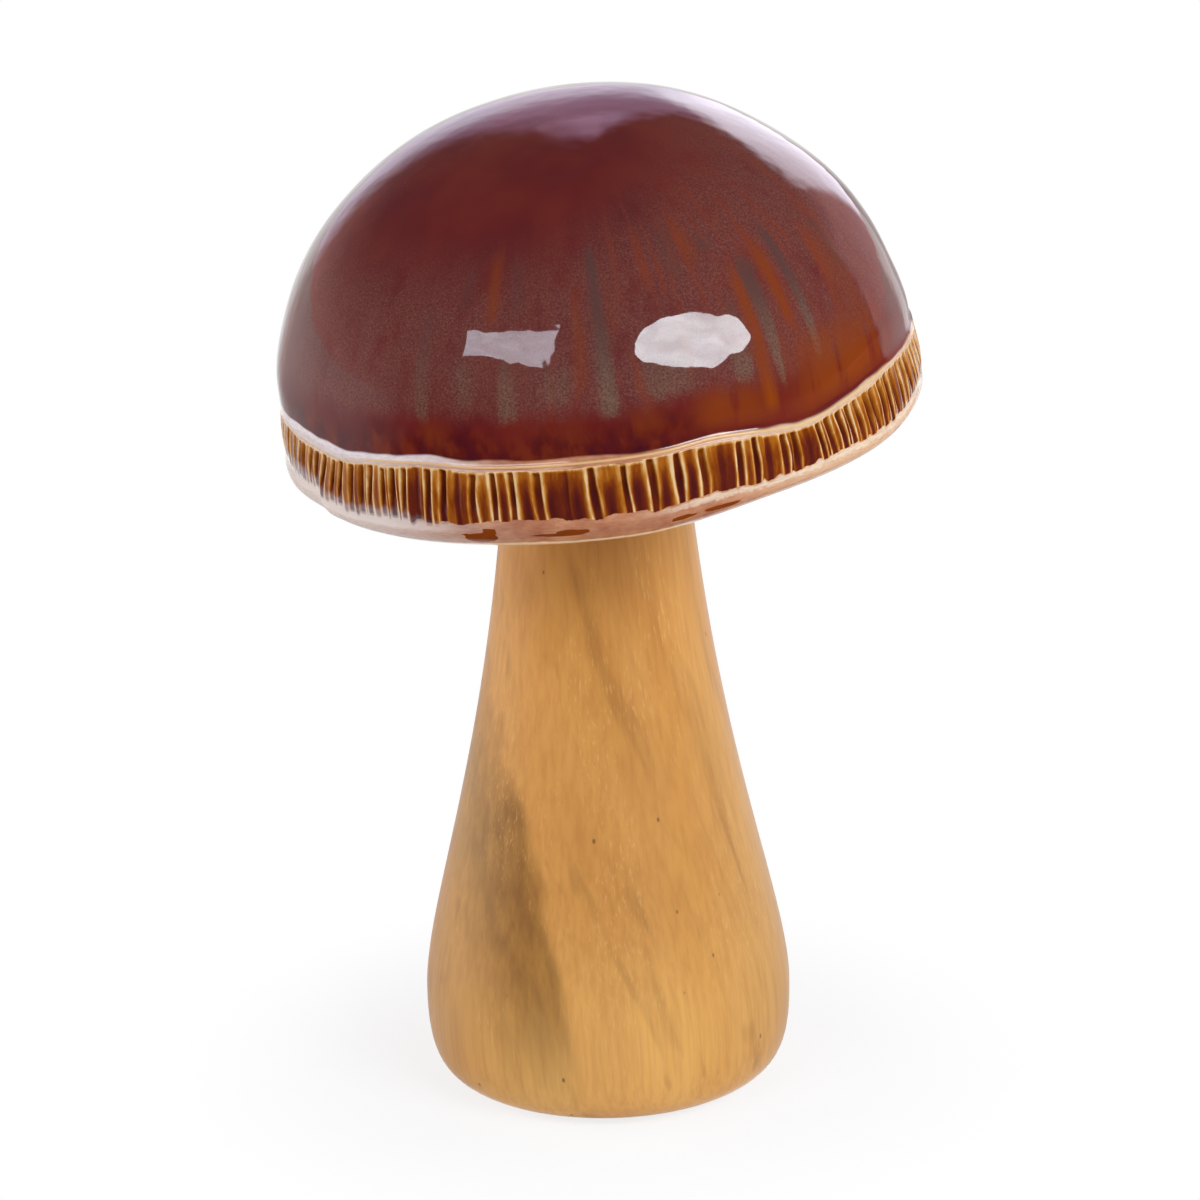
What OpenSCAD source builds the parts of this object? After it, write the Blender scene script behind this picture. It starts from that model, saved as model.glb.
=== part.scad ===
// Toadstool ornament: a hollow glazed stoneware cap, pinned and glued at a slight tilt onto a
// lathe-turned wooden stem that stands on a felt pad. Millimetres, +Z up, origin under the stem.

/* [Stem] */
// Height of the stem, from its foot to the middle of its mitred top
stem_h = 125.8; // [100:0.1:160]
// Radius of the flat foot
foot_r = 23; // [18:0.1:28]
// How far the foot keeps running flat before it rounds up into the bulb
foot_reach = 7.2; // [3:0.1:9]
// Radius of the bulb at its widest
bulb_r = 32.7; // [30:0.1:40]
// Height of the widest line of the bulb above the foot
bulb_z = 15.4; // [14:0.1:24]
// How far the bulb keeps running upright below its widest line
bulb_reach_low = 12.3; // [6:0.1:13]
// How far the bulb keeps running upright above its widest line
bulb_reach_up = 16.3; // [8:0.1:24]
// Radius of the neck at the mitred top
neck_r = 15.2; // [13:0.1:19]
// Lean of the neck's side from upright, in degrees
neck_lean = 3.4; // [0:0.1:6]
// Length over which the neck keeps that lean
neck_reach = 64; // [40:1:70]

/* [Cap] */
// Radius of the cap at its rim line, where the dome meets the gill band
rim_r = 55.3; // [48:0.1:66]
// Height of the dome above the rim line
dome_h = 47.9; // [38:0.1:60]
// Wall of the hollow cap
cap_wall = 5; // [4:0.1:6]
// Tilt of the cap, raised on its +X side, in degrees
cap_tilt = 5.2; // [0:0.1:8]
// Offset of the cap's axis from the middle of the stem's top, towards the raised side
cap_offset = 0.9; // [0:0.1:1.5]
// Depth of the seat on the stem below the rim line
seat_depth = 6; // [5:0.1:8]
// Width of the flat seat left clear all round the neck
seat_margin = 4; // [2.5:0.1:6]

/* [Gill band] */
// Height of the plain bead between the rim line and the gills
bead_h = 2.2; // [1.6:0.1:3]
// How far the bead stands out from the rim line
bead_out = 0.6; // [0.3:0.1:1]
// Height of the gills
gill_h = 8.4; // [6:0.1:10]
// How far the band swells beyond the rim line at the middle of the gills
band_swell = 0.9; // [0.5:0.1:1.5]
// Number of grooves cut round the band
groove_count = 132; // [90:1:140]
// Width of a groove at the face of the band
groove_w = 1.2; // [0.9:0.05:1.5]
// Width of a groove at its floor
groove_floor_w = 0.7; // [0.4:0.05:0.9]
// Depth of a groove
groove_depth = 1.3; // [0.6:0.1:1.8]
// Extra width of the gills at the front, as a share of the fine pitch
front_widening = 1.0; // [0:0.05:1.2]
// Number of gills over which that extra width dies away
front_spread = 4.5; // [2:0.1:12]
// Unevenness of the hand-cut pitch, as a share of the fine pitch
pitch_jitter = 0.18; // [0:0.01:0.2]

/* [Lip] */
// Height of the lip below the gills
lip_h = 5.4; // [4:0.1:7]
// How far the lip turns in under the band
lip_in = 5.4; // [4:0.1:7]
// Width of the bare foot ring that the lip ends on
ring_w = 3.2; // [2:0.1:5]

/* [Joint] */
// Radius of the wooden dowel
dowel_r = 6; // [4:0.1:7]
// Length of the dowel inside the stem
dowel_in_stem = 20; // [12:0.5:30]
// Length of the dowel inside the cap
dowel_in_cap = 14; // [8:0.5:20]
// Chamfer on the ends of the dowel
dowel_chamfer = 1; // [0.5:0.1:1.5]
// Radial clearance of the dowel in both its holes
dowel_fit = 0.15; // [0.1:0.05:0.3]
// Clearance beyond each end of the dowel
dowel_end = 0.8; // [0.5:0.1:2]
// Wall of the collar that stands round the dowel inside the cap
collar_wall = 4; // [3:0.1:6]
// Thickness of the glue between the stem's top and the cap's seat
glue_t = 0.6; // [0.3:0.1:1]
// Bare wood left between the glue and the edge of the stem's top
glue_inset = 0.8; // [0.4:0.1:1.5]

/* [Felt pad] */
// Thickness of the felt pad
pad_t = 1.4; // [1:0.1:2]
// Depth of the recess that the pad is glued into
pad_recess = 0.8; // [0.5:0.1:0.9]
// Width of the bare foot left round the recess
pad_margin = 3; // [2:0.1:5]
// Radial clearance of the pad in its recess
pad_fit = 0.3; // [0.1:0.05:0.5]

/* [Hidden] */
$fn = 128;
// Steps along a curved stretch of a profile
curve_steps = 16;
// How far a cutter runs past the face that it cuts
overcut = 2;
// How far the slots of the grooves run past the band's face and below the grooves' floor
slot_overcut = 0.5;

foot_z = pad_t - pad_recess;
mitre_rise = neck_r * tan(cap_tilt);
rim_up = glue_t + seat_depth;
gill_top = -bead_h;
gill_foot = gill_top - gill_h;
gill_mid = (gill_top + gill_foot) / 2;
lip_foot = gill_foot - lip_h;
ring_out = rim_r - lip_in;
ring_in = ring_out - ring_w;
hole_r = dowel_r + dowel_fit;
collar_r = hole_r + collar_wall;
collar_top = dowel_in_cap + dowel_end - seat_depth;
cavity_floor = cap_wall - seat_depth;
cavity_r = rim_r - cap_wall;
toe_r = cavity_r - cap_wall / 2;
toe_z = gill_mid - cap_wall / 2;
toe_sag = cap_wall / 3;
seat_r = neck_r + cap_offset + seat_margin;
glue_r = neck_r - cap_offset - glue_inset;
pad_hole_r = foot_r - pad_margin;

// Point at share t of a cubic curve
function cubic(p, t) =
    pow(1 - t, 3) * p[0] + 3 * pow(1 - t, 2) * t * p[1] + 3 * (1 - t) * t * t * p[2] + pow(t, 3) * p[3];

// Points along a cubic curve, without its first one
function curve(p) = [for (i = [1 : curve_steps]) cubic(p, i / curve_steps)];

// Points along a quarter ellipse, from the axis at the top down to its full radius
function quarter(r, h) = [for (i = [0 : curve_steps]) let (a = 90 * i / curve_steps) [r * sin(a), h * cos(a)]];

// The same points in the opposite order
function backwards(points) = [for (i = [len(points) - 1 : -1 : 0]) points[i]];

// Half-section of the stem blank, before the mitre is cut
function stem_profile() = concat(
    [[0, 0], [foot_r, 0]],
    curve([[foot_r, 0], [foot_r + foot_reach, 0], [bulb_r, bulb_z - bulb_reach_low], [bulb_r, bulb_z]]),
    curve([
        [bulb_r, bulb_z],
        [bulb_r, bulb_z + bulb_reach_up],
        [neck_r + neck_reach * tan(neck_lean), stem_h - neck_reach],
        [neck_r, stem_h]
    ]),
    [[neck_r, stem_h + mitre_rise + overcut], [0, stem_h + mitre_rise + overcut]]
);

// Face of the band from the bead down past the gills, inset by some depth
function band_face(depth) = [
    [rim_r + bead_out - depth, gill_top],
    [rim_r + band_swell - depth, (gill_top + gill_mid) / 2],
    [rim_r + band_swell - depth, gill_mid],
    [rim_r + bead_out - depth, gill_foot]
];

// Outside of the cap, from the top of the dome to the outer edge of the foot ring
function cap_outside() = concat(
    quarter(rim_r, dome_h),
    [[rim_r + bead_out, -bead_h / 3], [rim_r + bead_out, -bead_h * 2 / 3]],
    band_face(0),
    curve([
        [rim_r + bead_out, gill_foot],
        [rim_r + bead_out - lip_in / 6, gill_foot - lip_h / 2],
        [ring_out + lip_in / 2, lip_foot],
        [ring_out, lip_foot]
    ])
);

// Underside of the cap, from the inner edge of the foot ring up to the dowel's hole
function cap_underside() = concat(
    [[ring_in, lip_foot]],
    curve([
        [ring_in, lip_foot],
        [ring_in - ring_w, -seat_depth],
        [(ring_in + seat_r) / 2, -seat_depth],
        [seat_r, -seat_depth]
    ]),
    [[hole_r, -seat_depth]]
);

// Inside of the cap, from the collar's top out along the floor and up the dome to the axis
function cap_inside() = concat(
    [[hole_r, collar_top], [collar_r, collar_top], [collar_r, cavity_floor]],
    curve([
        [collar_r, cavity_floor],
        [(ring_in + seat_r) / 2, cavity_floor],
        [ring_in, cavity_floor],
        [toe_r, toe_z]
    ]),
    curve([[toe_r, toe_z], [toe_r, toe_z - toe_sag], [cavity_r, toe_z - toe_sag], [cavity_r, gill_mid]]),
    backwards(quarter(cavity_r, dome_h - cap_wall))
);

// Uneven spacing of the grooves: wide at the front, fine elsewhere, starting from the back
function pitch(i) =
    1 + front_widening * exp(-pow((i - groove_count / 2) / front_spread, 2)) + pitch_jitter * sin(137.5 * i);

pitch_sums = [for (i = 0, s = 0; i <= groove_count; s = s + pitch(i), i = i + 1) s];
function groove_angle(i) = 90 + 360 * pitch_sums[i] / pitch_sums[groove_count];

// Point at a radius, some way round the circle to one side of an angle
function beside(r, angle, along) = [r * cos(angle) - along * sin(angle), r * sin(angle) + along * cos(angle)];

// Puts its children on the cap's axis, with the stem's mitred top at zero height
module on_stem_top() {
    translate([0, 0, foot_z + stem_h])
        rotate([0, -cap_tilt, 0])
            translate([cap_offset, 0, 0])
                children();
}

// Half the width of a groove's slot at a radius, tapering from the band's face to the groove's floor
function slot_half(r) =
    (groove_w + (groove_w - groove_floor_w) * (r - rim_r - band_swell) / groove_depth) / 2;

// All the grooves of the band: a ring with the grooves' floor inside, cut into tapered slots
module groove_cutter() {
    core_r = rim_r + min(bead_out, band_swell) - groove_depth - slot_overcut;
    outer_r = rim_r + max(bead_out, band_swell) + slot_overcut;
    slots = [
        for (i = [0 : groove_count - 1])
            for (corner = [[core_r, -1], [outer_r, -1], [outer_r, 1], [core_r, 1]])
                beside(corner[0], groove_angle(i), corner[1] * slot_half(corner[0]))
    ];
    intersection() {
        rotate_extrude()
            polygon(concat(band_face(groove_depth), [[outer_r, gill_foot], [outer_r, gill_top]]));
        translate([0, 0, gill_foot])
            linear_extrude(height = gill_h)
                polygon(slots);
    }
}

module cap() {
    color([0.42, 0.16, 0.13])
        on_stem_top()
            translate([0, 0, rim_up])
                difference() {
                    rotate_extrude()
                        polygon(concat(cap_outside(), cap_underside(), cap_inside()));
                    groove_cutter();
                }
}

module stem() {
    color([0.80, 0.58, 0.31])
        difference() {
            translate([0, 0, foot_z])
                rotate_extrude()
                    polygon(stem_profile());
            on_stem_top() {
                cylinder(h = 2 * mitre_rise + 2 * overcut, r = 2 * bulb_r);
                translate([0, 0, -dowel_in_stem - dowel_end])
                    cylinder(h = dowel_in_stem + dowel_end + overcut, r = hole_r);
            }
            translate([0, 0, foot_z - overcut])
                cylinder(h = overcut + pad_recess, r = pad_hole_r);
        }
}

module dowel() {
    top = glue_t + dowel_in_cap;
    color([0.86, 0.72, 0.50])
        on_stem_top()
            rotate_extrude()
                polygon([
                    [0, -dowel_in_stem],
                    [dowel_r - dowel_chamfer, -dowel_in_stem],
                    [dowel_r, dowel_chamfer - dowel_in_stem],
                    [dowel_r, top - dowel_chamfer],
                    [dowel_r - dowel_chamfer, top],
                    [0, top]
                ]);
}

module glue_ring() {
    color([0.85, 0.80, 0.66])
        on_stem_top()
            difference() {
                cylinder(h = glue_t, r = glue_r);
                translate([0, 0, -overcut])
                    cylinder(h = glue_t + 2 * overcut, r = hole_r);
            }
}

module felt_pad() {
    color([0.20, 0.17, 0.15])
        cylinder(h = pad_t, r = pad_hole_r - pad_fit);
}

cap();
stem();
dowel();
glue_ring();
felt_pad();
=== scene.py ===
import math

import bpy
import numpy as np
from mathutils import Matrix, Vector


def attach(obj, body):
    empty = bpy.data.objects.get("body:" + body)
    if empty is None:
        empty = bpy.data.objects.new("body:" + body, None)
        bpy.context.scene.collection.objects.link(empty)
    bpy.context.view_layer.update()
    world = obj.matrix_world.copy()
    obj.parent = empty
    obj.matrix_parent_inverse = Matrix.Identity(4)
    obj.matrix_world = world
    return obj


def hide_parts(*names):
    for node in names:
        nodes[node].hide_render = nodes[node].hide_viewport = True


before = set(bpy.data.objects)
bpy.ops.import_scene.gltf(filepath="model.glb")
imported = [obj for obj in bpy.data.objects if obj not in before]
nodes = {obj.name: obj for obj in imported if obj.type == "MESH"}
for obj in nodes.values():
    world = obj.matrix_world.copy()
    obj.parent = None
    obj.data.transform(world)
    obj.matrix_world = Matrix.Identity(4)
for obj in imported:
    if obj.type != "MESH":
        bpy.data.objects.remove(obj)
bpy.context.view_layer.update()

# Sizes of the construction, in millimetres and degrees, as the solids have them
MM = 0.001
STEM_HEIGHT = 125.8
FOOT_RADIUS = 23.0
FOOT_REACH = 7.2
BULB_RADIUS = 32.7
BULB_HEIGHT = 15.4
BULB_REACH_LOW = 12.3
BULB_REACH_UP = 16.3
NECK_RADIUS = 15.2
NECK_LEAN = 3.4
NECK_REACH = 64.0
FOOT_LIFT = 0.6
PAD_RECESS = 0.8
PAD_HOLE_RADIUS = 20.0
DOWEL_HOLE_RADIUS = 6.15
DOWEL_HOLE_DEPTH = 20.8
RIM_RADIUS = 55.3
DOME_HEIGHT = 47.9
CAP_WALL = 5.0
CAP_TILT = 5.2
CAP_OFFSET = 0.9
GLUE_THICKNESS = 0.6
SEAT_DEPTH = 6.0
SEAT_RADIUS = 20.1
COLLAR_RADIUS = 10.15
COLLAR_TOP = 8.8
BEAD_HEIGHT = 2.2
BEAD_OUT = 0.6
GILL_HEIGHT = 8.4
BAND_SWELL = 0.9
LIP_HEIGHT = 5.4
LIP_IN = 5.4
RING_WIDTH = 3.2
GROOVE_COUNT = 132
GROOVE_WIDTH = 1.2
GROOVE_FLOOR = 0.7
FRONT_WIDENING = 1.0
FRONT_SPREAD = 4.5
PITCH_JITTER = 0.18
PITCH_TURN = 137.5
# The grooves are shallower than the solid's, because glaze pools in them
GROOVE_DEPTH = 0.95
# Grooves near the front, counted from the back, that glaze nearly fills, and its share of their depth
FULL_GROOVES = (57, 60, 65, 71, 74, 77)
FULL_SHARE = 0.65

# Heights on the cap from its rim line, and the radii of its foot ring
GILL_TOP = -BEAD_HEIGHT
GILL_FOOT = GILL_TOP - GILL_HEIGHT
GILL_MIDDLE = (GILL_TOP + GILL_FOOT) / 2
LIP_FOOT = GILL_FOOT - LIP_HEIGHT
RING_OUT = RIM_RADIUS - LIP_IN
RING_IN = RING_OUT - RING_WIDTH

# Where the cap stands: its own frame has the rim line at zero height
CAP_FRAME = (
    Matrix.Translation((0, 0, FOOT_LIFT + STEM_HEIGHT))
    @ Matrix.Rotation(math.radians(-CAP_TILT), 4, "Y")
    @ Matrix.Translation((CAP_OFFSET, 0, GLUE_THICKNESS + SEAT_DEPTH))
)
# Angles round the cap are counted from +X; the photographed front is at -Y
FRONT = math.radians(-90)


def smooth(low, high, value):
    """0 below low, 1 above high, and an even S between them."""
    share = np.clip((value - low) / (high - low), 0, 1)
    return share * share * (3 - 2 * share)


def plateau(value, start, full, fade, end):
    """0 before start, 1 from full to fade, and 0 again after end."""
    return smooth(start, full, value) * smooth(end, fade, value)


def bump(middle, half_width, value):
    """1 at the middle, dying away round it."""
    return np.exp(-(((value - middle) / half_width) ** 2))


def cubic(corners, steps):
    """Points along a cubic curve, without its first one."""
    share = np.linspace(0, 1, steps + 1)[1:, None]
    a, b, c, d = (np.array(corner, float) for corner in corners)
    rest = 1 - share
    return a * rest**3 + 3 * b * rest**2 * share + 3 * c * rest * share**2 + d * share**3


def blend(start, end, share):
    """From start to end, at shares of the way."""
    return start * (1 - share) + end * share


def turn_from_front(angle):
    """How far round an angle is from the front, in degrees, positive to the right."""
    return np.degrees((angle - FRONT + math.pi) % (2 * math.pi) - math.pi)


def around(count):
    """Even angles round a whole turn."""
    return np.arange(count) * 2 * math.pi / count


def add_object(name, data):
    """A new object in the scene."""
    made = bpy.data.objects.new(name, data)
    bpy.context.scene.collection.objects.link(made)
    return made


class Shell:
    """A closed mesh of rings of points round an axis, with values for the materials at each point."""

    VALUES = ("drop", "gill", "glaze", "pale", "grey_run", "amber_run", "lip_drip")

    def __init__(self):
        self.points = []
        self.faces = []
        self.flow = []
        self.values = {name: [] for name in self.VALUES}
        self.last = None

    def add_points(self, x, y, z, flow, values):
        """Adds a ring or a single point, and joins it to the one before."""
        added = (len(self.points), len(x))
        self.points += np.column_stack([x, y, z]).tolist()
        self.flow += flow.tolist()
        for name in self.VALUES:
            self.values[name] += np.broadcast_to(values.get(name, 0.0), len(x)).tolist()
        if self.last is not None:
            self.join(self.last, added)
        self.last = added

    def ring(self, angle, radius, height, flow_height, **values):
        """Adds a ring. Its flow runs down the piece, as glaze does."""
        angle = np.asarray(angle)
        sizes = (radius, height, flow_height)
        radius, height, flow_height = (np.broadcast_to(size, angle.shape) for size in sizes)
        flow = np.column_stack([RIM_RADIUS * np.cos(angle), RIM_RADIUS * np.sin(angle), flow_height])
        self.add_points(radius * np.cos(angle), radius * np.sin(angle), height, flow, values)

    def tip(self, height, flow_height, **values):
        """Adds a point on the axis, which starts or ends the shell."""
        flow = np.array([[0.0, 0.0, flow_height]])
        self.add_points(np.zeros(1), np.zeros(1), np.full(1, height), flow, values)

    def join(self, upper, lower):
        """Faces between two rings or tips. A ring may have a whole number of times the other's points."""
        fewer, more = sorted((upper[1], lower[1]))
        faces = fewer if fewer > 1 else more
        for face in range(faces):
            above, below = (self.face_points(*ring, face, faces) for ring in (upper, lower))
            self.faces.append((*above[::-1], *below))

    def face_points(self, first, count, face, faces):
        """The points of a ring or tip that belong to one of its faces."""
        step = count // faces
        return [first + (face * step + number) % count for number in range(step + 1)]

    def make(self, name, place):
        mesh = bpy.data.meshes.new(name)
        mesh.from_pydata(self.points, [], self.faces)
        mesh.transform(Matrix.Scale(MM, 4) @ place)
        flow = mesh.attributes.new("flow", "FLOAT_VECTOR", "POINT")
        flow.data.foreach_set("vector", np.array(self.flow, np.float32).ravel())
        for value_name, numbers in self.values.items():
            layer = mesh.attributes.new(value_name, "FLOAT", "POINT")
            layer.data.foreach_set("value", np.array(numbers, np.float32))
        mesh.polygons.foreach_set("use_smooth", [True] * len(mesh.polygons))
        mesh.update()
        return add_object(name, mesh)


# The camera stands where the photograph's did
CAMERA_DISTANCE = 1100.0
CAMERA_ELEVATION = 19.3
CAMERA_ROLL = 1.41
CAMERA_TARGET = Vector((0.2, 0, 88.9))
SENSOR_WIDTH = 36.0
PHOTO_SIZE = 1200
FOCAL_PIXELS = 6227.0


def make_camera():
    camera = bpy.data.cameras.new("camera")
    camera.sensor_width = SENSOR_WIDTH
    camera.lens = SENSOR_WIDTH * FOCAL_PIXELS / PHOTO_SIZE
    holder = add_object("camera", camera)
    rise = math.radians(CAMERA_ELEVATION)
    back = Vector((0, -math.cos(rise), math.sin(rise)))
    holder.location = (CAMERA_TARGET + CAMERA_DISTANCE * back) * MM
    aim = (-back).to_track_quat("-Z", "Y").to_matrix()
    holder.rotation_euler = (aim @ Matrix.Rotation(math.radians(-CAMERA_ROLL), 3, "Z")).to_euler()
    bpy.context.scene.camera = holder


# Mesh columns of a groove, as shares of its depth and its glaze, and of a gill, as shares of its width
GROOVE_DEPTHS = np.array([0.02, 0.16, 0.62, 0.94, 1.0, 0.94, 0.62, 0.16, 0.02])
GROOVE_POOLS = np.array([0.0, 0.16, 0.62, 0.95, 1.0, 0.95, 0.62, 0.16, 0.0])
GILL_SHARES = np.array([0.14, 0.3, 0.43, 0.57, 0.7, 0.86])
GROOVE_COLUMNS = len(GROOVE_DEPTHS)
GILL_COLUMNS = len(GILL_SHARES)
COLUMNS = GROOVE_COLUMNS + GILL_COLUMNS
# Which of these columns the other rings keep, and the rows of each part
DOME_STEP = 5
UNDER_STEP = 15
DOME_ROWS = 72
LIP_ROWS = 16
UNDER_ROWS = 8
# Rows of the gill band, as shares of the gills' height from their tops
GILL_ROWS = (-0.03, 0.0, 0.03, 0.06, 0.1, 0.16, 0.25, 0.35, 0.45, 0.55, 0.65)
GILL_ROWS += (0.74, 0.82, 0.88, 0.92, 0.96, 1.0, 1.04)
# How far past a groove's edge its rounding goes, how deep a wide gill is dished, and how the band leans in
GROOVE_EDGE = 0.22
DISH_DEPTH = 0.35
BAND_LEAN = 0.2
# From which width a gill starts to be wide, and at which it is
WIDE_GILL = (1.2, 3.2)
# Where a groove's depth, the glaze's cover and its thickness begin and end, as shares of the gills' height:
# from and to at their tops, then from and to at their feet
DEPTH_ENDS = (0.0, 0.08, -0.6, 0.0)
COVER_ENDS = (-0.06, 0.0, -0.07, 0.02)
POOL_ENDS = (-0.02, 0.03, -0.02, 0.04)
# How often the uneven ends of the glaze are averaged with their neighbours
FOOT_ROUNDING = 4
# How far the gills lean outwards at the sides, and how far a slow wave and chance turn each, in degrees
SIDE_LEAN = 12.0
WAVE_LEAN = 3.0
CHANCE_LEAN = 2.0
# How far a groove's edges wander on their way down, in millimetres and radians
EDGE_WANDER = 0.2
WANDER_TURN = 5.0
# Outline of the bead below the rim line, as distance out and height: a roll, a sharp line and a strip
BEAD_OUTLINE = ((0.04, -0.3), (0.09, -0.6), (0.17, -0.88), (0.36, -1.12),
                (0.5, -1.28), (0.42, -1.55), (0.5, -1.9))
# Factors of a number, of a seed and of the sine of their sum, which scatter them
NUMBER_STEP, SEED_STEP, SINE_SCALE = 12.9898, 78.233, 43758.5453


def scatter(number, seed):
    """Even-spread values from 0 to 1, the same at every run."""
    return np.modf(np.abs(np.sin(number * NUMBER_STEP + seed * SEED_STEP)) * SINE_SCALE)[0]


def groove_places():
    """The grooves' angles, uneven as hand-cut ones are, from the back round to the back again."""
    number = np.arange(GROOVE_COUNT + 1)
    wide = FRONT_WIDENING * bump(GROOVE_COUNT / 2, FRONT_SPREAD, number)
    pitch = 1 + wide + PITCH_JITTER * np.sin(np.radians(PITCH_TURN * number))
    sums = np.concatenate([[0], np.cumsum(pitch)[:-1]])
    return math.pi / 2 + 2 * math.pi * sums / sums[-1]


def rounded(values, times):
    """The values around the ring, each averaged with its neighbours a number of times."""
    for _ in range(times):
        values = (np.roll(values, 1) + 2 * values + np.roll(values, -1)) / 4
    return values


def columns(grooves, gills):
    """Values for the columns of the grooves and of the gills beside them."""
    return np.concatenate([grooves, gills], axis=1)


class GillBand:
    """The columns of the gill band: each groove's edges, walls and floor, then the gill beside it."""

    def __init__(self):
        places = groove_places()[:, None]
        self.number = np.arange(GROOVE_COUNT)[:, None]
        self.turn = turn_from_front(places[:-1])
        self.full = np.isin(self.number, FULL_GROOVES).astype(float)
        self.blank = np.zeros((GROOVE_COUNT, GROOVE_COLUMNS))
        self.set_columns(places[:-1])
        self.carve()
        self.pour_glaze()
        self.bend()
        self.end_glaze()
        for name, values in list(vars(self).items()):
            setattr(self, name, values.ravel())

    def set_columns(self, places):
        """Where the columns are, and how wide the gills are."""
        half = GROOVE_WIDTH / 2 * (0.85 + 0.35 * scatter(self.number, 1))
        floor = GROOVE_FLOOR / 2 * (0.8 + 0.4 * scatter(self.number, 2))
        edge = half + GROOVE_EDGE
        wall = (half + floor) / 2
        across = np.concatenate([-edge, -half, -wall, -floor, 0 * half, floor, wall, half, edge], axis=1)
        grooves = places + across / RIM_RADIUS
        gill_from = grooves[:, -1:]
        gill_to = np.roll(grooves[:, :1], -1)
        gill_to[-1] += 2 * math.pi
        self.angle = columns(grooves, gill_from + (gill_to - gill_from) * GILL_SHARES)
        self.width = (gill_to - gill_from) * RIM_RADIUS
        self.wide = smooth(*WIDE_GILL, self.width)

    def carve(self):
        """Share of the grooves' depth at each column, and how hollow each wide gill is."""
        flat = np.zeros((GROOVE_COUNT, GILL_COLUMNS))
        self.groove = columns(GROOVE_DEPTHS * (1 - FULL_SHARE * self.full), flat)
        self.dish = columns(self.blank, self.wide * np.sin(math.pi * GILL_SHARES))

    def pour_glaze(self):
        """Glaze is thin and pale on most edges, thicker on the gills and thickest in the grooves."""
        number, full, width = self.number, self.full, self.width
        dark = (0.6 + 0.4 * scatter(number, 3)) * (1 - 0.2 * smooth(25, 50, np.abs(self.turn)))
        thick = 0.32 + 0.36 * scatter(number, 4)
        before = np.roll(thick, 1)
        left_edge = before * np.maximum(np.clip(0.45 - scatter(number, 10), 0, 1), full)
        right_edge = thick * np.maximum(np.clip(0.45 - scatter(number, 11), 0, 1), full)
        border = np.minimum(1.1, 0.4 * width)
        from_left = smooth(-0.1, border, GILL_SHARES * width)
        from_right = smooth(-0.1, border, (1 - GILL_SHARES) * width)
        edges = right_edge * (1 - from_left) + np.roll(left_edge, -1) * (1 - from_right)
        groove_pool = GROOVE_POOLS * dark
        groove_pool[:, :2] += left_edge
        groove_pool[:, -2:] += right_edge
        cross = np.linspace(0, 1, GROOVE_COLUMNS)
        level = blend(before, thick, cross)
        groove_pool += full * (level + (0.8 - level) * np.sin(math.pi * cross) ** 3 - groove_pool)
        self.pool = columns(groove_pool, thick * from_left * from_right + edges)
        # A darker pool low on each wide gill
        middle = 0.3 + 0.4 * scatter(number, 5)
        low = (0.35 + 0.45 * scatter(number, 6)) * self.wide
        self.low_pool = columns(self.blank, low * bump(middle, 0.22, GILL_SHARES))

    def bend(self):
        """Hand-cut grooves wander on their way down and lean a little."""
        number, away = self.number, np.abs(self.turn)
        left, right = (scatter(number, seed) * np.exp(6j * scatter(number, seed + 2)) for seed in (13, 14))
        grooves = blend(left, right, np.linspace(0, 1, GROOVE_COLUMNS))
        self.wander = columns(grooves, blend(right, np.roll(left, -1), GILL_SHARES))
        outward = SIDE_LEAN * np.sign(self.turn) * plateau(away, 15, 60, 90, 150)
        chance = CHANCE_LEAN * (scatter(number, 7) - 0.5) + WAVE_LEAN * np.sin(0.45 * number)
        lean = np.radians(chance - outward)
        self.lean = columns(self.blank + lean, blend(lean, np.roll(lean, -1), GILL_SHARES))

    def end_glaze(self):
        """The glaze starts and ends at uneven heights, and on the left the gills' feet are pale, partly a
        painted sheen.
        """
        groove_foot = 0.93 + 0.08 * scatter(self.number, 8) - 0.08 * smooth(-24, -36, self.turn)
        gill_foot = 0.91 + 0.08 * scatter(self.number, 12)
        foot = columns(self.blank + groove_foot, np.repeat(gill_foot, GILL_COLUMNS, axis=1))
        self.foot = rounded(foot.ravel(), FOOT_ROUNDING).reshape(foot.shape)
        self.top = np.repeat(0.05 * scatter(self.number, 9) - 0.02, COLUMNS, axis=1)
        # How far up the pale paint reaches on the left: pale glaze, and at the far left also a painted
        # white sheen
        pale_and_sheen_reach = 0.26 * smooth(-24, -40, self.turn) + 0.3 * smooth(-54, -68, self.turn)
        self.pale_from = self.foot - 0.04 - np.repeat(pale_and_sheen_reach, COLUMNS, axis=1)

    def present(self, share, top_from, top_to, foot_from, foot_to):
        """1 between the gills' tops and feet and 0 beyond, changing over as far from them as given."""
        begun = smooth(self.top + top_from, self.top + top_to, share)
        return begun * (1 - smooth(self.foot + foot_from, self.foot + foot_to, share))

    def row(self, share):
        """The columns' angles, depths and glaze values at a share of the gills' height from their tops."""
        sideways = -max(share, 0) * GILL_HEIGHT * np.tan(self.lean)
        sideways += EDGE_WANDER * np.imag(self.wander * np.exp(1j * WANDER_TURN * share))
        depth = (GROOVE_DEPTH * self.groove + DISH_DEPTH * self.dish) * self.present(share, *DEPTH_ENDS)
        pool = self.pool * (0.6 + 0.5 * smooth(0, 0.5, share)) + self.low_pool * smooth(0.15, 0.75, share)
        values = {
            "gill": self.present(share, *COVER_ENDS),
            "glaze": np.clip(pool * self.present(share, *POOL_ENDS), 0, 1),
            "pale": smooth(self.pale_from, self.foot + 0.03, share),
        }
        return self.angle + sideways / RIM_RADIUS, depth, values


# Gentle unevenness of the hand-finished dome, as waves in millimetres across it
WAVE_SEED = 137
WAVE_COUNT = 7
WAVE_LENGTHS = (16.0, 48.0)
WAVE_SIZE = 0.066
WAVE_SIZE_LENGTH = 30.0
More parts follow.
